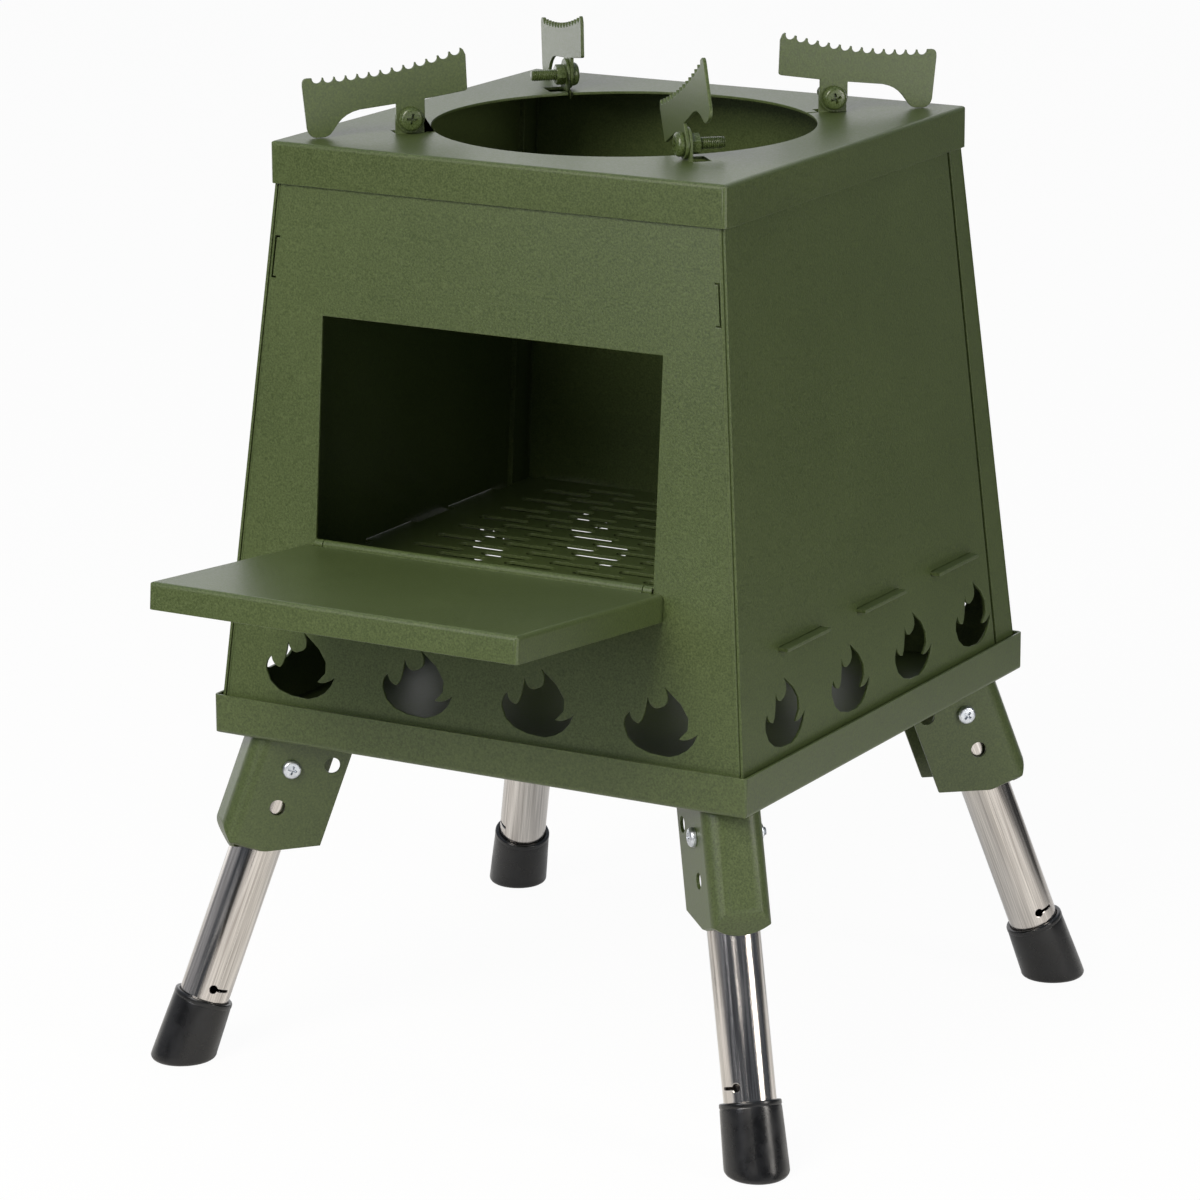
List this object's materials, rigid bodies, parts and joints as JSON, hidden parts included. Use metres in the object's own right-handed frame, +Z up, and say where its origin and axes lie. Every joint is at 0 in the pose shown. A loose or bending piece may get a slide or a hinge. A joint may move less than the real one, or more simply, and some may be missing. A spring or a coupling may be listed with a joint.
{
  "type": "folding camping stove",
  "caption": "Square sheet-steel firebox stove on splayed folding legs, with a drop-down fuel door, a slotted grate, flame-shaped vents and serrated tilting pot supports.",
  "frame": {"origin": "centre of the base tray's underside", "axes": "+Z up, -Y out of the fuel opening, +X to the right seen from the front"},
  "size_m": [0.3126, 0.394, 0.4494],
  "materials": {
    "green_powder_coat": "army-green powder coat, fine orange peel, satin",
    "stainless_tube": "polished stainless steel",
    "zinc_plate": "bright zinc plate",
    "black_rubber": "semi-gloss moulded rubber"
  },
  "bodies": {
    "stove": {"base_tray": "green_powder_coat", "front_panel": "green_powder_coat", "rear_panel": "green_powder_coat", "left_panel": "green_powder_coat", "right_panel": "green_powder_coat", "fire_grate": "green_powder_coat", "top_cap": "green_powder_coat", "door_hinge_wire": "stainless_tube", "leg_bracket_front_left": "green_powder_coat", "leg_bracket_front_right": "green_powder_coat", "leg_bracket_rear_right": "green_powder_coat", "leg_bracket_rear_left": "green_powder_coat", "leg_screws": "zinc_plate", "leg_nuts": "zinc_plate", "support_screws": "green_powder_coat", "support_nuts": "green_powder_coat"},
    "fuel_door": {"fuel_door": "green_powder_coat"},
    "leg_front_left": {"leg_tube_front_left": "stainless_tube", "foot_front_left": "black_rubber"},
    "pot_support_front_left": {"pot_support_front_left": "green_powder_coat"},
    "leg_front_right": {"leg_tube_front_right": "stainless_tube", "foot_front_right": "black_rubber"},
    "pot_support_front_right": {"pot_support_front_right": "green_powder_coat"},
    "leg_rear_right": {"leg_tube_rear_right": "stainless_tube", "foot_rear_right": "black_rubber"},
    "pot_support_rear_right": {"pot_support_rear_right": "green_powder_coat"},
    "leg_rear_left": {"leg_tube_rear_left": "stainless_tube", "foot_rear_left": "black_rubber"},
    "pot_support_rear_left": {"pot_support_rear_left": "green_powder_coat"}
  },
  "joints": [
    {"name": "fuel_door_hinge", "type": "hinge", "parent": "stove", "child": "fuel_door", "pos_m": [0, -0.12055, 0.08793], "axis": [-1, 0, 0], "range_deg": [0, 90]},
    {"name": "leg_front_left_fold", "type": "hinge", "parent": "stove", "child": "leg_front_left", "pos_m": [-0.10833, -0.10833, -0.0153], "axis": [0.7071, -0.7071, 0], "range_deg": [0, 110.3]},
    {"name": "pot_support_front_left_tilt", "type": "hinge", "parent": "stove", "child": "pot_support_front_left", "pos_m": [-0.06611, -0.06611, 0.2628], "axis": [-0.7071, 0.7071, 0], "range_deg": [0, 70]},
    {"name": "leg_front_right_fold", "type": "hinge", "parent": "stove", "child": "leg_front_right", "pos_m": [0.10833, -0.10833, -0.0153], "axis": [0.7071, 0.7071, 0], "range_deg": [0, 110.3]},
    {"name": "pot_support_front_right_tilt", "type": "hinge", "parent": "stove", "child": "pot_support_front_right", "pos_m": [0.06611, -0.06611, 0.2628], "axis": [-0.7071, -0.7071, 0], "range_deg": [-32, 38]},
    {"name": "leg_rear_right_fold", "type": "hinge", "parent": "stove", "child": "leg_rear_right", "pos_m": [0.10833, 0.10833, -0.0153], "axis": [-0.7071, 0.7071, 0], "range_deg": [0, 110.3]},
    {"name": "pot_support_rear_right_tilt", "type": "hinge", "parent": "stove", "child": "pot_support_rear_right", "pos_m": [0.06611, 0.06611, 0.2628], "axis": [0.7071, -0.7071, 0], "range_deg": [0, 70]},
    {"name": "leg_rear_left_fold", "type": "hinge", "parent": "stove", "child": "leg_rear_left", "pos_m": [-0.10833, 0.10833, -0.0153], "axis": [-0.7071, -0.7071, 0], "range_deg": [0, 110.3]},
    {"name": "pot_support_rear_left_tilt", "type": "hinge", "parent": "stove", "child": "pot_support_rear_left", "pos_m": [-0.06611, 0.06611, 0.2628], "axis": [0.7071, 0.7071, 0], "range_deg": [0, 70]}
  ]
}
